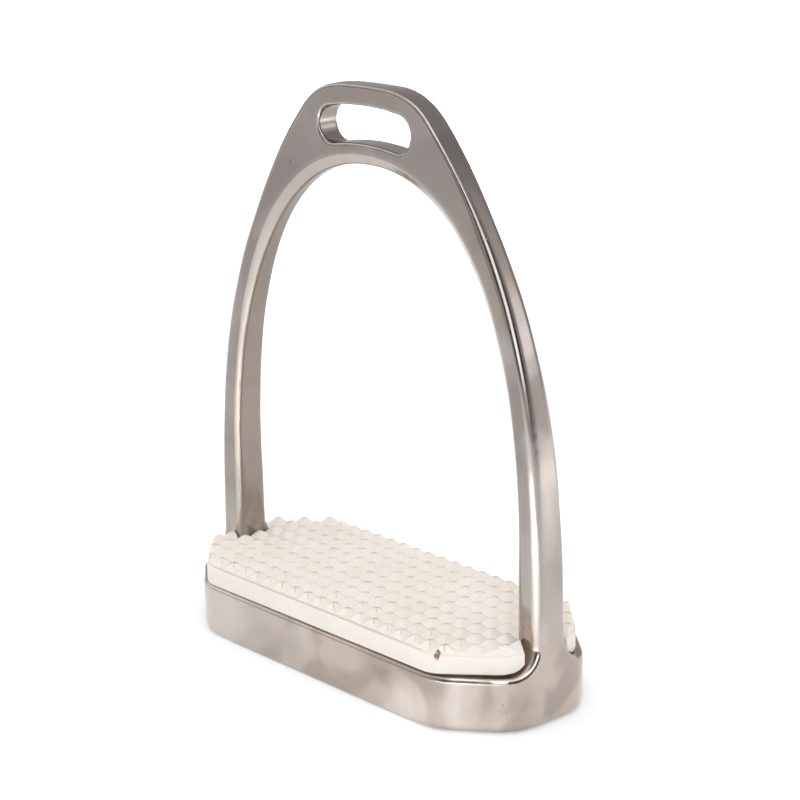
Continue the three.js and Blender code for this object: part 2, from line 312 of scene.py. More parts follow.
class IronShape:
    """The distance to the iron's surface, from the outlines of its plan and its front."""

    def __init__(self):
        length, width, height = iron_high + FIELD_MARGIN
        plan_box = (0.0, 0.0), (length, width)
        front_box = (0.0, -FIELD_MARGIN), (length, height)
        slot_box = (0.0, SLOT_BOX["foot"]), (SLOT_BOX["half_width"], height)
        steps = CURVE_STEPS["base_corner"]
        self.plan = self.closed_field(octagon(BASE, BASE_RADII, steps), plan_box)
        self.window = self.closed_field(octagon(WINDOW, WINDOW_RADII, steps), plan_box)
        self.outer = self.half_field(outer_curve(), front_box)
        self.inner = self.half_field(inner_curve(), front_box)
        self.slot = self.half_field(slot_curve(), slot_box)

    @staticmethod
    def closed_field(outline, box):
        return PlaneField(np.concatenate([outline, outline[:1]]), [], *box)

    @staticmethod
    def half_field(curve, box):
        return PlaneField(curve, [(OUTLINE_BACK, curve[-1][1]), (OUTLINE_BACK, curve[0][1])], *box)

    def base(self, x, y, z, plan):
        """The ring under the tread with its two crossbars."""
        slab = rounded_edge(plan, z - RIM, RIM_EDGE)
        window = self.window(x, y)
        ring = rounded_edge(slab, -window, WINDOW_EDGE)
        bar = rounded_edge(
            np.abs(x - CROSSBAR["centre"]) - CROSSBAR["half_width"],
            np.maximum(z - CROSSBAR["top"], CROSSBAR["foot"] - z),
            CROSSBAR["edge"],
        )
        bar = np.maximum(bar, window - 2 * CROSSBAR["edge"])
        return blended_join(ring, bar, CROSSBAR["blend"])

    def arch(self, x, y, z, plan):
        """The branches and the eye, down to the sole so that they grow out of the base."""
        crowning = FACE_CROWNING * (y / DEPTH["foot"]) ** 2
        crowning = crowning * smooth_step(z, RIM, RIM + 2 * FOOT_FILLET)
        sides = np.maximum(plan, self.outer(x, z)) + crowning
        profile = side_profile(y, z)
        up = smooth_step(z, RIM, RIM + FOOT_FILLET)
        at_eye = smooth_step(z, *CROWN_FADE)
        edge = mix(OUTER_EDGE["rim"], OUTER_EDGE["branch"], up)
        edge = mix(edge, OUTER_EDGE["eye"], smooth_step(z, *EYE_FADE))
        solid = rounded_edge(sides, profile, edge)
        opening = -self.inner(x, z)
        inner_edge = mix(INNER_EDGE["branch"], INNER_EDGE["crown"], at_eye)
        solid = rounded_edge(solid, opening, inner_edge)
        slant = self.inner_chamfer(profile, opening, at_eye)
        return -blended_join(-solid, -slant, CHAMFER["soften"])

    @staticmethod
    def inner_chamfer(profile, opening, at_eye):
        """The slanted band along the inner edge, widest at the crown."""
        share = mix(CHAMFER["branch_share"], 1.0, at_eye)
        slant = opening / CHAMFER["face"] + profile / CHAMFER["depth"] + share
        return slant / math.hypot(1 / CHAMFER["face"], 1 / CHAMFER["depth"])

    def __call__(self, x, y, z):
        x, y = np.abs(x), np.abs(y)
        plan = self.plan(x, y)
        whole = np.minimum(self.base(x, y, z, plan), self.arch(x, y, z, plan))
        cornering = smooth_step(x, SOLE_EDGE["start"], SOLE_EDGE["full"])
        whole = rounded_edge(whole, -z, mix(SOLE_EDGE["side"], SOLE_EDGE["corner"], cornering))
        return rounded_edge(whole, -self.slot(x, z), SLOT["edge"])


# --- Meshing a distance function --------------------------------------------------------------------

CUBE_CORNERS = np.array([(i, j, k) for i in (0, 1) for j in (0, 1) for k in (0, 1)])
CUBE_EDGES = [
    (a, b) for a in range(8) for b in range(a + 1, 8) if abs(CUBE_CORNERS[a] - CUBE_CORNERS[b]).sum() == 1
]


def surface_net(distance, low, high, step):
    """One point in each grid cube that the surface passes through, joined by four-sided faces."""
    before, beyond = IRON_PADDING * step, (IRON_PADDING + 1) * step
    axes = [np.arange(a - before, b + beyond, step) for a, b in zip(low, high)]
    values = distance(axes[0][:, None, None], axes[1][None, :, None], axes[2][None, None, :])
    solid = values < 0
    cubes = tuple(n - 1 for n in solid.shape)
    filled = np.zeros(cubes, np.int8)
    for i, j, k in CUBE_CORNERS:
        filled += solid[i : i + cubes[0], j : j + cubes[1], k : k + cubes[2]]
    active = (filled > 0) & (filled < 8)
    number = np.full(cubes, -1)
    number[active] = np.arange(active.sum())
    cells = np.argwhere(active)
    at_corner = [values[tuple((cells + corner).T)] for corner in CUBE_CORNERS]
    total = np.zeros((len(cells), 3))
    crossings = np.zeros(len(cells))
    for a, b in CUBE_EDGES:
        crossed = (at_corner[a] < 0) != (at_corner[b] < 0)
        t = np.where(crossed, at_corner[a] / np.where(crossed, at_corner[a] - at_corner[b], 1.0), 0.0)
        total += crossed[:, None] * (CUBE_CORNERS[a] + t[:, None] * (CUBE_CORNERS[b] - CUBE_CORNERS[a]))
        crossings += crossed
    points = np.array([axis[0] for axis in axes]) + step * (cells + total / crossings[:, None])
    return points, net_faces(solid, number)


def net_faces(solid, number):
    """A face for each grid edge that crosses the surface, through the four cubes around it."""
    faces = []
    for axis in range(3):
        first, second = (axis + 1) % 3, (axis + 2) % 3
        here = np.take(solid, range(solid.shape[axis] - 1), axis)
        there = np.take(solid, range(1, solid.shape[axis]), axis)
        edges = np.argwhere(here != there)
        leaving = here[tuple(edges.T)]
        corners = []
        for back_first, back_second in ((0, 0), (1, 0), (1, 1), (0, 1)):
            cube = edges.copy()
            cube[:, first] -= back_first
            cube[:, second] -= back_second
            corners.append(number[tuple(cube.T)])
        quads = np.stack(corners, axis=1)
        quads[~leaving] = quads[~leaving][:, ::-1]
        faces.append(quads)
    return np.concatenate(faces)


def slopes(distance, points):
    """The gradient of the distance at each point."""
    columns = []
    for axis in range(3):
        offset = np.zeros(3)
        offset[axis] = SLOPE_REACH
        ahead = distance(*(points + offset).T)
        behind = distance(*(points - offset).T)
        columns.append((ahead - behind) / (2 * SLOPE_REACH))
    return np.stack(columns, axis=1)


def onto_surface(distance, points):
    """Moves each point straight onto the surface."""
    slope = slopes(distance, points)
    steepness = np.maximum((slope**2).sum(axis=1), LEAST_STEEPNESS)
    move = np.clip(distance(*points.T) / steepness, -LONGEST_MOVE, LONGEST_MOVE)
    return points - move[:, None] * slope


def evened(points, faces):
    """Moves each point halfway to the middle of its neighbours."""
    ends = np.concatenate([faces, np.roll(faces, -1, axis=1)]).ravel()
    others = np.concatenate([np.roll(faces, -1, axis=1), faces]).ravel()
    count = np.bincount(ends, minlength=len(points))
    middle = [np.bincount(ends, weights=points[others, i], minlength=len(points)) for i in range(3)]
    return mix(points, np.stack(middle, axis=1) / count[:, None], 0.5)


def ripples(points):
    """The slight unevenness that hand polishing leaves, as a height at each point."""
    rng = np.random.default_rng(SEED)
    height = np.zeros(len(points))
    for _ in range(RIPPLE["waves"]):
        direction = rng.normal(size=3)
        direction /= np.linalg.norm(direction)
        length = rng.uniform(*RIPPLE["lengths"])
        phase = rng.uniform(0.0, 2 * math.pi)
        height += np.sin(points @ direction * (2 * math.pi / length) + phase)
    return height * RIPPLE["height"] / math.sqrt(RIPPLE["waves"])


# --- Meshes -----------------------------------------------------------------------------------------


def mesh_object(name, points, faces):
    """A mesh object from millimetre points and faces."""
    mesh = bpy.data.meshes.new(name)
    mesh.from_pydata((np.asarray(points) * MM).tolist(), [], [list(map(int, face)) for face in faces])
    mesh.validate()
    mesh.update()
    thing = bpy.data.objects.new(name, mesh)
    bpy.context.scene.collection.objects.link(thing)
    return thing


def make_iron():
    shape = IronShape()
    points, faces = surface_net(shape, iron_low, iron_high, IRON_GRID)
    for _ in range(SETTLE_ROUNDS):
        points = onto_surface(shape, evened(points, faces))
    points = onto_surface(shape, points)
    slope = slopes(shape, points)
    outward = slope / np.linalg.norm(slope, axis=1)[:, None]
    height = ripples(points) * smooth_step(points[:, 2], 0.0, SOLE_EDGE["side"])
    points = points + outward * height[:, None]
    iron = mesh_object("polished_iron", points, faces)
    iron.data.shade_smooth()
    return iron


def solid_between(name, rings):
    """A closed solid through rings of equal point counts, each ring an outline and its height."""
    count = len(rings[0][0])
    points = [(x, y, z) for outline, z in rings for x, y in outline]
    faces = [list(range(count))[::-1], [(len(rings) - 1) * count + i for i in range(count)]]
    for level in range(len(rings) - 1):
        for i in range(count):
            a, b = level * count + i, level * count + (i + 1) % count
            faces.append([a, b, b + count, a + count])
    return mesh_object(name, points, faces)


def rounded_slab(name, outline_at, low, high, edge):
    """A slab whose upper and lower edges are rounded. outline_at gives its outline at an inset."""
    lower, upper = [], []
    for i in range(EDGE_STEPS + 1):
        turn = (i / EDGE_STEPS) * math.pi / 2
        outline = outline_at(edge * (1 - math.sin(turn)))
        rise = edge * (1 - math.cos(turn))
        lower.append((outline, low + rise))
        upper.append((outline, high - rise))
    return solid_between(name, lower + upper[::-1])


def combine(target, tool, operation):
    """Joins, cuts or intersects the target with the tool, which is used up."""
    modifier = target.modifiers.new(operation.lower(), "BOOLEAN")
    modifier.operation = operation
    modifier.solver = "EXACT"
    modifier.object = tool
    bpy.context.view_layer.update()
    result = bpy.data.meshes.new_from_object(target.evaluated_get(bpy.context.evaluated_depsgraph_get()))
    target.modifiers.clear()
    spent = target.data
    target.data = result
    bpy.data.meshes.remove(spent)
    bpy.data.objects.remove(tool)


# --- The tread --------------------------------------------------------------------------------------


def stud_height(across, along, lift):
    """The height of a pyramid at a share of its half pitch from its middle, with a blunt, soft top."""
    ridge = np.maximum(RIDGE_SOFTNESS - np.abs(np.abs(across) - np.abs(along)), 0.0)
    nearest = np.minimum(1 - np.abs(across), 1 - np.abs(along))
    slope = np.maximum(nearest - ridge * ridge / (4 * RIDGE_SOFTNESS), 0.0) * STUD["apex"]
    top = STUD["height"] + lift
    near = np.maximum(STUD_SOFTNESS - np.abs(slope - top), 0.0)
    return np.minimum(slope, top) - near * near / (4 * STUD_SOFTNESS)


def stud_field():
    """A block whose top is the whole field of pyramids, before it is trimmed to the tread's outline."""
    lines = np.array(STUD_LINES)
    local = np.concatenate([lines - 1, (1 - lines[::-1])[1:]])
    rng = np.random.default_rng(SEED)

    def positions(pitch, count):
        middles = (np.arange(count) - (count - 1) / 2) * pitch
        cells = middles[:, None] + local[None, :-1] * pitch / 2
        return np.append(cells.ravel(), middles[-1] + pitch / 2)

    columns, rows = STUD["columns"] + EXTRA_COLUMNS, STUD["rows"]
    x = positions(STUD["pitch_x"], columns)
    y = positions(STUD["pitch_y"], rows)
    lifts = rng.normal(0.0, STUD_UNEVENNESS, size=(columns, rows))
    steps = len(local) - 1
    cell_x = np.minimum(np.arange(len(x)) // steps, columns - 1)
    cell_y = np.minimum(np.arange(len(y)) // steps, rows - 1)
    share_x = local[np.arange(len(x)) - cell_x * steps]
    share_y = local[np.arange(len(y)) - cell_y * steps]
    lift = lifts[cell_x][:, cell_y]
    height = stud_height(share_x[:, None], share_y[None, :], lift)
    top = TREAD_FACE + STUD_FOOT + height
    grid_x, grid_y = np.meshgrid(x, y, indexing="ij")
    upper = np.stack([grid_x, grid_y, top], axis=-1).reshape(-1, 3)
    index = np.arange(len(x) * len(y)).reshape(len(x), len(y))
    quads = np.stack([index[:-1, :-1], index[1:, :-1], index[1:, 1:], index[:-1, 1:]], axis=-1)
    faces = quads.reshape(-1, 4).tolist()
    edge = np.concatenate([index[:, 0], index[-1, 1:], index[-2::-1, -1], index[0, -2:0:-1]])
    lower = upper[edge].copy()
    lower[:, 2] = TREAD_FACE - OVERLAP
    count = len(edge)
    for i in range(count):
        j = (i + 1) % count
        faces.append([int(edge[j]), int(edge[i]), len(upper) + i, len(upper) + j])
    faces.append([len(upper) + i for i in range(count)][::-1])
    return mesh_object("studs", np.concatenate([upper, lower]), faces)


def window_outlines(inset):
    """The three windows that the lugs fit in, made smaller all round by inset."""
    near = CROSSBAR["centre"] - CROSSBAR["half_width"] - inset
    far = CROSSBAR["centre"] + CROSSBAR["half_width"] + inset
    y, x, r = WINDOW["width"] - inset, WINDOW["length"] - inset, WINDOW_RADII["end"]
    side, end = WINDOW["long_side"], WINDOW["end_side"]
    middle = [(near, -y, r), (near, y, r), (-near, y, r), (-near, -y, r)]
    right = [(far, -y, r), (side, -y, r), (x, -end, r), (x, end, r), (side, y, r), (far, y, r)]
    left = [(-px, -py, pr) for px, py, pr in right]
    return [rounded_outline(corners, CURVE_STEPS["tread_corner"]) for corners in (middle, right, left)]


def notch_cutter(side):
    """What is cut from one end of the tread: the branch's foot with its fillets, and a flared mouth."""
    gap = NOTCH["gap"]
    half = float(half_depth(RIM + FOOT_FILLET)) + gap
    radius = FOOT_FILLET - gap
    turn = np.linspace(-math.pi / 2, -math.pi, FILLET_POINTS)
    centre = half + radius
    fillet = np.stack([centre + radius * np.cos(turn), RIM + FOOT_FILLET + radius * np.sin(turn)], axis=1)
    right = [(centre, 0.0), *fillet.tolist(), (half, CUTTER["branch_top"])]
    profile = np.array(right + [(-y, z) for y, z in reversed(right)])
    near, far = side * (BRANCH["inner"] - gap), side * (BASE["length"] + CUTTER["overrun"])
    count = len(profile)
    points = [(x, y, z) for x in (near, far) for y, z in profile]
    faces = [list(range(count)), [count + i for i in range(count)][::-1]]
    faces += [[i, count + i, count + (i + 1) % count, (i + 1) % count] for i in range(count)]
    cutter = mesh_object("notch", points, faces)
    (x0, y0), (x1, y1) = NOTCH["start"], NOTCH["end"]
    mouth = [(side * x0, -y0), (side * x1, -y1), (side * x1, y1), (side * x0, y0)]
    wedge = solid_between("mouth", [(mouth, 0.0), (mouth, CUTTER["mouth_top"])])
    for thing in (cutter, wedge):
        outward_normals(thing)
    combine(cutter, wedge, "UNION")
    return cutter


def outward_normals(thing):
    """Turns every face of a closed mesh to point out."""
    work = bmesh.new()
    work.from_mesh(thing.data)
    bmesh.ops.recalc_face_normals(work, faces=work.faces)
    work.to_mesh(thing.data)
    work.free()


def curl_corner(thing):
    """Lifts the front right corner of the tread a little, where the rubber has taken a set."""
    mesh = thing.data
    points = np.empty(len(mesh.vertices) * 3)
    mesh.vertices.foreach_get("co", points)
    points = points.reshape(-1, 3)
    away = np.hypot(points[:, 0] / MM - CURL["corner"][0], points[:, 1] / MM - CURL["corner"][1])
    points[:, 2] += CURL["height"] * MM * (1 - smooth_step(away, 0.0, CURL["reach"]))
    mesh.vertices.foreach_set("co", points.ravel())
    mesh.update()


def tread_outline(inset):
    return octagon(TREAD, TREAD_RADII, CURVE_STEPS["tread_corner"], inset)


def make_tread():
    tread = rounded_slab("rubber_tread", tread_outline, TREAD_UNDERSIDE, TREAD_FACE, TREAD_EDGE)
    studs = stud_field()
    border = tread_outline(STUD_BORDER)
    trim = solid_between("trim", [(border, TREAD_FACE - TRIM_OVERLAP), (border, 2 * TREAD_FACE)])
    combine(studs, trim, "INTERSECT")
    combine(tread, studs, "UNION")
    for outline in window_outlines(LUG["gap"]):
        middle = outline.mean(axis=0)
        reach = np.linalg.norm(outline - middle, axis=1).max()

        def inset_outline(inset, outline=outline, middle=middle, reach=reach):
            return middle + (outline - middle) * (1 - inset / reach)

        lug = rounded_slab("lug", inset_outline, LUG["foot"], TREAD_FACE - OVERLAP, LUG["edge"])
        combine(tread, lug, "UNION")
    for side in (1, -1):
        combine(tread, notch_cutter(side), "DIFFERENCE")
    curl_corner(tread)
    tread.data.shade_smooth()
    tread.data.set_sharp_from_angle(angle=math.radians(SHARP_ANGLE))
    return tread


# --- Materials --------------------------------------------------------------------------------------

# Colours are linear red, green, blue and opacity. Scales count a noise's cells in a metre. A range holds
# the value where a mask starts, the value where it is full and, where they aren't 0 and 1, its two levels.

NOISE_MIDDLE = 0.5
SPOT_UNEVENNESS = 2.5
SPOT_CORE = 0.6

STEEL = {
    "cool": (0.47, 0.425, 0.395, 1.0),
    "warm": (0.52, 0.445, 0.385, 1.0),
    "dull": (0.34, 0.29, 0.255, 1.0),
    "bright": (0.66, 0.61, 0.56, 1.0),
    "lines": (0.45, 0.40, 0.37, 1.0),
    # Painted shade laid over the arch and the eye.
    "arch": (0.21, 0.19, 0.18, 1.0),
    # Painted shade on the faces turned inwards.
    "inner_face_shade": (0.27, 0.22, 0.18, 1.0),
    # Painted highlight on the slanted band.
    "slanted_band_highlight": (0.66, 0.59, 0.53, 1.0),
    # Painted reflection streaks.
    "reflection_streaks": (0.24, 0.165, 0.115, 1.0),
    "pits": (0.14, 0.11, 0.10, 1.0),
}
STEEL_NOISE = {
    "clouds": {"scale": 38.0, "detail": 2.5, "distortion": 0.9},
    "warmth": {"scale": 24.0, "detail": 2.0},
    "lines": {"scale": 700.0, "detail": 2.0, "stretch": (1.0, 1.0, 0.06)},
    "reflection_streaks": {"scale": 330.0, "detail": 1.5, "stretch": (1.0, 1.0, 0.045)},
    "pitted": {"scale": 120.0, "detail": 1.0},
    "waves": {"scale": 90.0, "detail": 3.0, "rough": 0.4},
}
STEEL_RANGES = {
    "warmth": (0.38, 0.62),
    "dull": (0.5, 0.64),
    "bright": (0.47, 0.35),
    "lines": (0.45, 0.75, 0.0, 0.08),
    "inner_face_shade": (-0.55, -0.85),
    "band_from_face": (0.96, 0.90),
    "band_from_side": (0.72, 0.82),
    "reflection_streaks": (0.48, 0.66),
    "pits": (0.13, 0.05),
    "pitted": (0.62, 0.7),
    "cloud_roughness": (0.35, 0.66, 0.13, 0.22),
    "line_roughness": (0.3, 0.75, 0.0, 0.04),
}
# Ranges of height above the sole, in metres.
STEEL_HEIGHTS = {
    # Heights where the painted shade over the arch, then over the eye, grows.
    "arch": (0.012, 0.034, 0.0, 0.48),
    "eye": (0.085, 0.125, 0.0, 0.16),
    # Heights where the painted reflection streaks fade out.
    "reflection_streaks": (0.085, 0.04, 0.0, 0.4),
}
STEEL_AMOUNTS = {"dull": 0.7, "bright": 0.55, "inner_face_shade": 1.2, "pit_roughness": 0.3}
STEEL_DEPTHS = {"waves": 0.00009, "lines": 0.000003, "pits": 0.0001}
PIT_CELLS = 330.0

# Patches laid over the casting's colour: two darker patches on the base's front, and painted light: a
# painted highlight down the base's right front corner, a broad painted highlight over the base's right
# front, painted shade at the foot of the right branch beside the tread and a painted highlight on the left
# end of the leather slot. A mark is full in its core, a share of its reach.
MARK_CORE = 0.15
TONE_AND_PAINTED_LIGHT_MARKS = [
    {
        "place": (25.5, -23.0, 9.5),
        "reach": (10.0, 5.0, 5.0),
        "amount": 0.9,
        "colour": (0.33, 0.275, 0.24, 1.0),
    },
    {
        "place": (-14.0, -23.0, 6.0),
        "reach": (14.0, 5.0, 4.5),
        "amount": 0.35,
        "colour": (0.36, 0.31, 0.28, 1.0),
    },
    # Painted highlight: a soft vertical band of light down the base's right front corner.
    {
        "place": (46.0, -19.0, 6.0),
        "reach": (4.2, 7.0, 20.0),
        "amount": 0.6,
        "colour": (0.84, 0.78, 0.73, 1.0),
    },
    # Painted highlight: a broad lighter area over the base's right front.
    {
        "place": (44.0, -20.0, 5.0),
        "reach": (22.0, 16.0, 14.0),
        "amount": 0.8,
        "colour": (0.74, 0.66, 0.59, 1.0),
    },
    # Painted shade: dark brown at the foot of the right branch's inner front edge, beside the tread.
    {
        "place": (50.2, -3.0, 21.0),
        "reach": (2.2, 5.0, 15.0),
        "amount": 0.75,
        "colour": (0.20, 0.115, 0.06, 1.0),
    },
    # Painted highlight: light on the left end of the leather slot.
    {
        "place": (-15.5, 0.0, 131.0),
        "reach": (3.0, 5.0, 5.0),
        "amount": 0.8,
        "colour": (0.86, 0.82, 0.81, 1.0),
    },
]

RUBBER = {
    "clean": (0.93, 0.86, 0.785, 1.0),
    "yellowed": (0.90, 0.815, 0.725, 1.0),
    "tops": (0.36, 0.29, 0.22, 1.0),
    # Darker colour for the tops of the studs.
    "ridges": (0.46, 0.39, 0.32, 1.0),
    # Painted shade on the ridges of the front rows.
    "valleys": (0.55, 0.46, 0.37, 1.0),
    # Painted shade in the valleys between the studs.
    "stain": (0.16, 0.045, 0.02, 1.0),
}
RUBBER_NOISE = {
    "yellowing": {"scale": 45.0, "rough": 0.6},
    "patchiness": {"scale": 330.0, "detail": 3.0},
    "stain": {"scale": 900.0},
    "roughness": {"scale": 240.0, "detail": 3.0},
    "grain": {"scale": 1500.0, "detail": 3.0},
    "dents": {"scale": 210.0, "detail": 2.0},
}
RUBBER_RANGES = {
    "yellowing": (0.35, 0.7),
    "patchiness": (0.36, 0.62, 0.35, 1.0),
    "tops": (0.36, 0.26),
    "dashes": (0.22, 0.08),
    "ridges": (0.13, 0.02),
    "front_rows": (-0.012, -0.019, 0.15, 0.8),
    "stain": (0.3, 0.5),
    "roughness": (0.3, 0.7, 0.55, 0.72),
}
# Ranges of height above the tread's face, in millimetres.
RUBBER_HEIGHTS = {"upper": (0.5, 1.7), "valleys": (0.35, 0.02), "above_face": (-0.06, -0.01)}
RUBBER_AMOUNTS = {"tops": 0.8, "in_dash": 0.9, "beside_dash": 0.1, "valleys": 0.3, "stain": 0.85}
RUBBER_DEPTHS = {"grain": 0.00003, "dents": 0.00012}
RUBBER_SHADER = {
    "Specular IOR Level": 0.35,
    "Subsurface Weight": 0.35,
    "Subsurface Radius": (0.0026, 0.0019, 0.0014),
    "Subsurface Scale": 1.0,
}
STAIN = {"place": (42.8, -21.9, 18.6), "reach": (0.8, 1.9, 1.7)}


class Nodes:
    """Builds one material's node tree."""

    def __init__(self, name):
        self.material = bpy.data.materials.new(name)
        self.material.use_nodes = True
        self.tree = self.material.node_tree
        self.tree.nodes.clear()
        output = self.tree.nodes.new("ShaderNodeOutputMaterial")
        self.shader = self.tree.nodes.new("ShaderNodeBsdfPrincipled")
        self.link(self.shader.outputs[0], output.inputs[0])
        self.coordinates = self.tree.nodes.new("ShaderNodeTexCoord").outputs
        self.place = self.coordinates["Object"]

    def link(self, source, target):
        self.tree.links.new(source, target)

    def put(self, socket, value):
        """Links or sets an input, whichever the value is."""
        if isinstance(value, bpy.types.NodeSocket):
            self.link(value, socket)
        else:
            socket.default_value = value

    def stretched(self, scale):
        node = self.tree.nodes.new("ShaderNodeMapping")
        node.inputs["Scale"].default_value = scale
        self.link(self.place, node.inputs["Vector"])
        return node.outputs[0]

    def noise(self, scale, detail=4.0, rough=0.5, distortion=0.0, stretch=None):
        node = self.tree.nodes.new("ShaderNodeTexNoise")
        node.inputs["Scale"].default_value = scale
        node.inputs["Detail"].default_value = detail
        node.inputs["Roughness"].default_value = rough
        node.inputs["Distortion"].default_value = distortion
        self.link(self.stretched(stretch) if stretch else self.place, node.inputs["Vector"])
        return node.outputs["Fac"]

    def cells(self, scale):
        node = self.tree.nodes.new("ShaderNodeTexVoronoi")
        node.inputs["Scale"].default_value = scale
        self.link(self.place, node.inputs["Vector"])
        return node.outputs["Distance"]

    def ramp(self, value, low, high, start=0.0, end=1.0):
        node = self.tree.nodes.new("ShaderNodeMapRange")
        node.interpolation_type = "SMOOTHSTEP"
        for name, number in (("From Min", low), ("From Max", high), ("To Min", start), ("To Max", end)):
            node.inputs[name].default_value = number
        self.link(value, node.inputs["Value"])
        return node.outputs["Result"]

    def math(self, operation, a, b=0.0):
        node = self.tree.nodes.new("ShaderNodeMath")
        node.operation = operation
        self.put(node.inputs[0], a)
        self.put(node.inputs[1], b)
        return node.outputs[0]

    def product(self, first, *others):
        for other in others:
            first = self.math("MULTIPLY", first, other)
        return first

    def blend(self, amount, under, over):
        """Lays a colour over another by an amount from 0 to 1."""
        node = self.tree.nodes.new("ShaderNodeMix")
        node.data_type = "RGBA"
        self.put(node.inputs["Factor"], amount)
        self.put(node.inputs["A"], under)
        self.put(node.inputs["B"], over)
        return node.outputs["Result"]

    def bump(self, height, depth, under=None):
        node = self.tree.nodes.new("ShaderNodeBump")
        node.inputs["Distance"].default_value = depth
        self.link(height, node.inputs["Height"])
        if under is not None:
            self.link(under, node.inputs["Normal"])
        return node.outputs[0]

    def vector_math(self, operation, a, b=None):
        node = self.tree.nodes.new("ShaderNodeVectorMath")
        node.operation = operation
        self.link(a, node.inputs[0])
        if b is not None:
            node.inputs[1].default_value = b
        return node.outputs

    def spot(self, place, reach, uneven=None, core=SPOT_CORE):
        """One inside an ellipsoid and falling to nothing at its edge, which noise can make uneven."""
        offset = self.vector_math("SUBTRACT", self.place, [value * MM for value in place])[0]
        scaled = self.vector_math("DIVIDE", offset, [value * MM for value in reach])[0]
        away = self.vector_math("LENGTH", scaled)["Value"]
        if uneven is not None:
            shift = self.math("SUBTRACT", uneven, NOISE_MIDDLE)
            away = self.math("ADD", away, self.math("MULTIPLY", shift, SPOT_UNEVENNESS))
        return self.ramp(away, 1.0, core)

    def part(self, axis, of="Object"):
        """One of the three parts of the place on the object, or of its normal."""
        node = self.tree.nodes.new("ShaderNodeSeparateXYZ")
        self.link(self.coordinates[of], node.inputs[0])
        return node.outputs[axis]


def steel_material():
    """Polished cast stainless: warm cloudy patches, fine hand-polishing lines, pits, darker patches and
    painted light and shade.
    """
    n = Nodes("polished_stainless")
    n.shader.inputs["Metallic"].default_value = 1.0
    noises = {name: n.noise(**settings) for name, settings in STEEL_NOISE.items()}
    clouds, lines = noises["clouds"], noises["lines"]
    height = n.part("Z")

    def masked(value, name):
        return n.ramp(value, *STEEL_RANGES[name])

    colour = n.blend(masked(noises["warmth"], "warmth"), STEEL["cool"], STEEL["warm"])
    for name in ("dull", "bright"):
        amount = n.product(masked(clouds, name), STEEL_AMOUNTS[name])
        colour = n.blend(amount, colour, STEEL[name])
    # Laid-on marks: darker patches, painted highlights and painted shade.
    for mark in TONE_AND_PAINTED_LIGHT_MARKS:
        spot = n.spot(mark["place"], mark["reach"], clouds, MARK_CORE)
        colour = n.blend(n.product(spot, mark["amount"]), colour, mark["colour"])
    colour = n.blend(masked(lines, "lines"), colour, STEEL["lines"])

    # Painted shade: the arch is darkened with height towards STEEL["arch"], and the eye more still.
    arch = n.ramp(height, *STEEL_HEIGHTS["arch"])
    darker = n.math("ADD", arch, n.ramp(height, *STEEL_HEIGHTS["eye"]))
    colour = n.blend(darker, colour, STEEL["arch"])
    # Painted shade: faces turned in towards the middle are darkened, up the arch.
    inward = n.product(n.part("X", "Normal"), n.math("SIGN", n.part("X")))
    inner_face_shade = n.product(masked(inward, "inner_face_shade"), arch, STEEL_AMOUNTS["inner_face_shade"])
    colour = n.blend(inner_face_shade, colour, STEEL["inner_face_shade"])
    # Painted highlight: faces turned partly to the front or back, the slanted band along the inner edge,
    # are lightened up the arch.
    facing = n.math("ABSOLUTE", n.part("Y", "Normal"))
    band = n.product(masked(facing, "band_from_face"), masked(facing, "band_from_side"), arch)
    colour = n.blend(band, colour, STEEL["slanted_band_highlight"])
    # Painted reflection: brown vertical streaks low on the arch.
    reflection_streaks = masked(noises["reflection_streaks"], "reflection_streaks")
    painted_reflection = n.product(reflection_streaks, n.ramp(height, *STEEL_HEIGHTS["reflection_streaks"]), arch)
    colour = n.blend(painted_reflection, colour, STEEL["reflection_streaks"])
    pit = n.product(masked(n.cells(PIT_CELLS), "pits"), masked(noises["pitted"], "pitted"))
    colour = n.blend(pit, colour, STEEL["pits"])
    n.link(colour, n.shader.inputs["Base Color"])

    rough = n.math("ADD", masked(clouds, "cloud_roughness"), masked(lines, "line_roughness"))
    rough = n.math("ADD", rough, n.product(pit, STEEL_AMOUNTS["pit_roughness"]))
    n.link(rough, n.shader.inputs["Roughness"])

    waves = n.bump(noises["waves"], STEEL_DEPTHS["waves"])
    scratched = n.bump(lines, STEEL_DEPTHS["lines"], under=waves)
    pitted = n.bump(n.math("SUBTRACT", 1.0, pit), STEEL_DEPTHS["pits"], under=scratched)
    n.link(pitted, n.shader.inputs["Normal"])
    return n.material


def stud_share(n, axis, pitch):
    """How far a place is from its stud's middle, from 0 there to 1 or -1 at the valleys."""
    pitches = n.math("ADD", n.math("DIVIDE", n.part(axis), pitch * MM), 0.5)
    return n.math("MULTIPLY", n.math("SUBTRACT", n.math("FRACT", pitches), 0.5), 2.0)


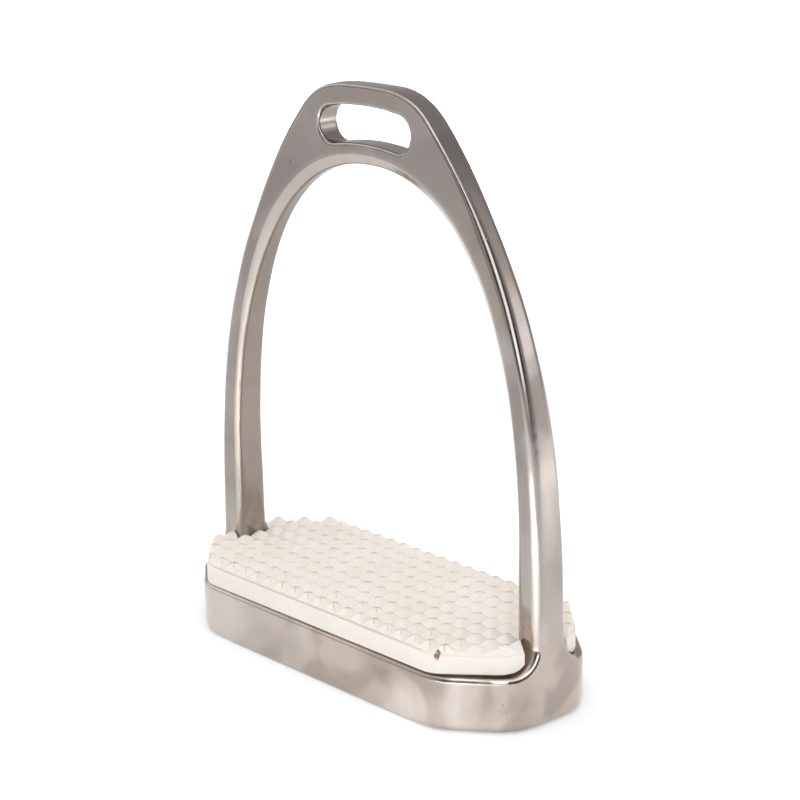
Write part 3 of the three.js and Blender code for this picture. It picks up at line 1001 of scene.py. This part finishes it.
def rubber_material():
    """White moulded rubber, a little yellowed, darker on the tops of its studs, with painted shade on the
    front rows' ridges and in the valleys.
    """
    n = Nodes("white_rubber")
    noises = {name: n.noise(**settings) for name, settings in RUBBER_NOISE.items()}
    height = n.part("Z")
    across = stud_share(n, "X", STUD["pitch_x"])
    along = stud_share(n, "Y", STUD["pitch_y"])
    share_x, share_y = n.math("ABSOLUTE", across), n.math("ABSOLUTE", along)

    def masked(value, name):
        return n.ramp(value, *RUBBER_RANGES[name])

    def at_height(name):
        low, high = RUBBER_HEIGHTS[name]
        return n.ramp(height, (TREAD_FACE + low) * MM, (TREAD_FACE + high) * MM)

    colour = n.blend(masked(noises["yellowing"], "yellowing"), RUBBER["clean"], RUBBER["yellowed"])
    patchiness = masked(noises["patchiness"], "patchiness")
    upper = at_height("upper")

    # The blunt top of each stud is darker, most of all in a dash that runs along one of its diagonals.
    top = masked(n.math("MAXIMUM", share_x, share_y), "tops")
    dash = masked(n.math("ABSOLUTE", n.math("SUBTRACT", across, along)), "dashes")
    dash = n.product(dash, RUBBER_AMOUNTS["in_dash"])
    dash = n.math("ADD", dash, RUBBER_AMOUNTS["beside_dash"])
    top = n.product(top, upper, dash)
    colour = n.blend(n.product(top, patchiness, RUBBER_AMOUNTS["tops"]), colour, RUBBER["tops"])

    # Painted shade: the ridges of the studs in the front rows are darkened, unevenly by a noise.
    ridge = masked(n.math("ABSOLUTE", n.math("SUBTRACT", share_x, share_y)), "ridges")
    front_rows = masked(n.part("Y"), "front_rows")
    colour = n.blend(n.product(ridge, upper, n.product(front_rows, patchiness)), colour, RUBBER["ridges"])
    # Painted shade: the rubber is darkened low in the valleys between the studs, just above the tread's
    # face.
    valley = n.product(at_height("valleys"), at_height("above_face"), RUBBER_AMOUNTS["valleys"])
    colour = n.blend(valley, colour, RUBBER["valleys"])
    stain = n.product(n.spot(STAIN["place"], STAIN["reach"]), masked(noises["stain"], "stain"))
    colour = n.blend(n.product(stain, RUBBER_AMOUNTS["stain"]), colour, RUBBER["stain"])
    n.link(colour, n.shader.inputs["Base Color"])

    n.link(masked(noises["roughness"], "roughness"), n.shader.inputs["Roughness"])
    for name, value in RUBBER_SHADER.items():
        n.shader.inputs[name].default_value = value
    grain = n.bump(noises["grain"], RUBBER_DEPTHS["grain"])
    n.link(n.bump(noises["dents"], RUBBER_DEPTHS["dents"], under=grain), n.shader.inputs["Normal"])
    return n.material


# --- Setting ----------------------------------------------------------------------------------------

VIEW = {"azimuth": 48.43, "elevation": 15.913, "roll": -1.13, "lens": 99.92, "distance": 0.53237}
VIEW_TARGET = Vector((0.00337, 0.00381, 0.06522))
SENSOR_WIDTH = 36.0
CLIP_START = 0.01

# A floor that stays white far from the lamps, because it glows more there: the distances in metres
# between which its glow grows, and its glow at both.
FLOOR_REACH = 6000.0
FLOOR_COLOUR = (0.92, 0.92, 0.92, 1.0)
FLOOR_ROUGHNESS = 0.9
FLOOR_GLOW = (0.9, 1.8, 0.25, 0.7)
WHITE = (1.0, 1.0, 1.0, 1.0)

# Where the room around the object is darker or brighter than the rest: the middle of each stretch, the
# cosines of the angles where it ends and where it is full, and its level there.
ROOM_STRETCHES = [
    {"towards": (0.70, -0.64, 0.40), "ends": 0.70, "full": 0.90, "level": 0.05},
    {"towards": (0.64, 0.64, 0.42), "ends": 0.93, "full": 0.98, "level": 1.8},
    {"towards": (0.75, 0.645, 0.14), "ends": 0.93, "full": 0.985, "level": 2.2},
    {"towards": (-0.72, -0.26, 0.62), "ends": 0.72, "full": 0.93, "level": 2.2},
]
ROOM_LIGHT = (0.95, 0.94, 0.96, 1.0)
ROOM_STRENGTH = 0.5


def camera_axes():
    """The camera's right, up and back directions."""
    azimuth, elevation, roll = (math.radians(VIEW[key]) for key in ("azimuth", "elevation", "roll"))
    back = Vector((
        math.sin(azimuth) * math.cos(elevation),
        -math.cos(azimuth) * math.cos(elevation),
        math.sin(elevation),
    ))
    right = Vector((math.cos(azimuth), math.sin(azimuth), 0.0))
    up = back.cross(right)
    rolled_right = right * math.cos(roll) + up * math.sin(roll)
    rolled_up = up * math.cos(roll) - right * math.sin(roll)
    return rolled_right, rolled_up, back


def make_camera():
    right, up, back = camera_axes()
    data = bpy.data.cameras.new("camera")
    data.lens = VIEW["lens"]
    data.sensor_width = SENSOR_WIDTH
    data.clip_start = CLIP_START
    camera = bpy.data.objects.new("camera", data)
    turned = Matrix((right, up, back)).transposed().to_4x4()
    camera.matrix_world = Matrix.Translation(VIEW_TARGET + back * VIEW["distance"]) @ turned
    bpy.context.scene.collection.objects.link(camera)
    bpy.context.scene.camera = camera


def make_floor():
    corners = [(x * FLOOR_REACH, y * FLOOR_REACH, 0.0) for x, y in ((-1, -1), (1, -1), (1, 1), (-1, 1))]
    floor = mesh_object("floor", corners, [[0, 1, 2, 3]])
    n = Nodes("floor_white")
    n.shader.inputs["Base Color"].default_value = FLOOR_COLOUR
    n.shader.inputs["Roughness"].default_value = FLOOR_ROUGHNESS
    n.shader.inputs["Emission Color"].default_value = WHITE
    away = n.vector_math("LENGTH", n.place)["Value"]
    n.link(n.ramp(away, *FLOOR_GLOW), n.shader.inputs["Emission Strength"])
    floor.data.materials.append(n.material)


def make_world():
    """A pale room with darker and brighter stretches, which the polished metal mirrors."""
    world = bpy.data.worlds.new("studio")
    world.use_nodes = True
    tree = world.node_tree
    background = tree.nodes["Background"]
    direction = tree.nodes.new("ShaderNodeTexCoord").outputs["Generated"]

    def product(a, b):
        node = tree.nodes.new("ShaderNodeMath")
        node.operation = "MULTIPLY"
        tree.links.new(a, node.inputs[0])
        tree.links.new(b, node.inputs[1])
        return node.outputs[0]

    def level_of(stretch):
        towards = tree.nodes.new("ShaderNodeVectorMath")
        towards.operation = "DOT_PRODUCT"
        towards.inputs[1].default_value = Vector(stretch["towards"]).normalized()
        tree.links.new(direction, towards.inputs[0])
        fade = tree.nodes.new("ShaderNodeMapRange")
        fade.interpolation_type = "SMOOTHSTEP"
        fade.inputs["From Min"].default_value = stretch["ends"]
        fade.inputs["From Max"].default_value = stretch["full"]
        fade.inputs["To Min"].default_value = 1.0
        fade.inputs["To Max"].default_value = stretch["level"]
        tree.links.new(towards.outputs["Value"], fade.inputs["Value"])
        return fade.outputs["Result"]

    strength = level_of(ROOM_STRETCHES[0])
    for stretch in ROOM_STRETCHES[1:]:
        strength = product(strength, level_of(stretch))
    scaled = tree.nodes.new("ShaderNodeMath")
    scaled.operation = "MULTIPLY"
    scaled.inputs[1].default_value = ROOM_STRENGTH
    tree.links.new(strength, scaled.inputs[0])
    background.inputs["Color"].default_value = ROOM_LIGHT
    tree.links.new(scaled.outputs[0], background.inputs["Strength"])
    bpy.context.scene.world = world


def area_light(name, place, target, size, power, spread=180, mirrored=True, colour=WHITE[:3]):
    """A soft lamp, not itself in view. spread is in degrees; mirrored says if the metal shows it."""
    data = bpy.data.lights.new(name, "AREA")
    data.shape = "RECTANGLE"
    data.size, data.size_y = size
    data.energy = power
    data.color = colour
    data.spread = math.radians(spread)
    light = bpy.data.objects.new(name, data)
    light.location = place
    light.visible_camera = False
    light.visible_glossy = mirrored
    light.rotation_euler = (Vector(target) - Vector(place)).to_track_quat("-Z", "Y").to_euler()
    bpy.context.scene.collection.objects.link(light)


def make_lights():
    """Two lamps that light the object, and three that brighten the floor around it."""
    middle = (0.0, 0.0, 0.06)
    area_light("overhead", place=(0.1, -0.05, 0.75), target=middle, size=(0.6, 0.6), power=1.8)
    area_light(
        "key",
        place=(0.58, -0.50, 0.56),
        target=middle,
        size=(0.40, 0.95),
        power=3.4,
        colour=(0.86, 0.93, 1.0),
    )
    area_light(
        "behind",
        place=(-0.35, 1.05, 0.9),
        target=(-0.4, 1.1, 0.0),
        size=(2.6, 1.3),
        power=13.0,
        spread=60,
        mirrored=False,
    )
    area_light(
        "back_right",
        place=(0.52, 0.44, 0.6),
        target=(0.52, 0.44, 0.0),
        size=(0.6, 0.6),
        power=2.4,
        spread=50,
        mirrored=False,
    )
    area_light(
        "front_pool",
        place=(0.10, -0.19, 0.45),
        target=(0.10, -0.19, 0.0),
        size=(0.07, 0.07),
        power=1.1,
        spread=30,
        mirrored=False,
    )


scene = bpy.context.scene
scene.view_settings.view_transform = "Standard"

make_camera()
make_floor()
make_world()
make_lights()

iron = make_iron()
iron.data.materials.append(steel_material())
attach(iron, "iron_body")
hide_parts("iron")

tread = make_tread()
tread.data.materials.clear()
tread.data.materials.append(rubber_material())
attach(tread, "tread_body")
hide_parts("tread")
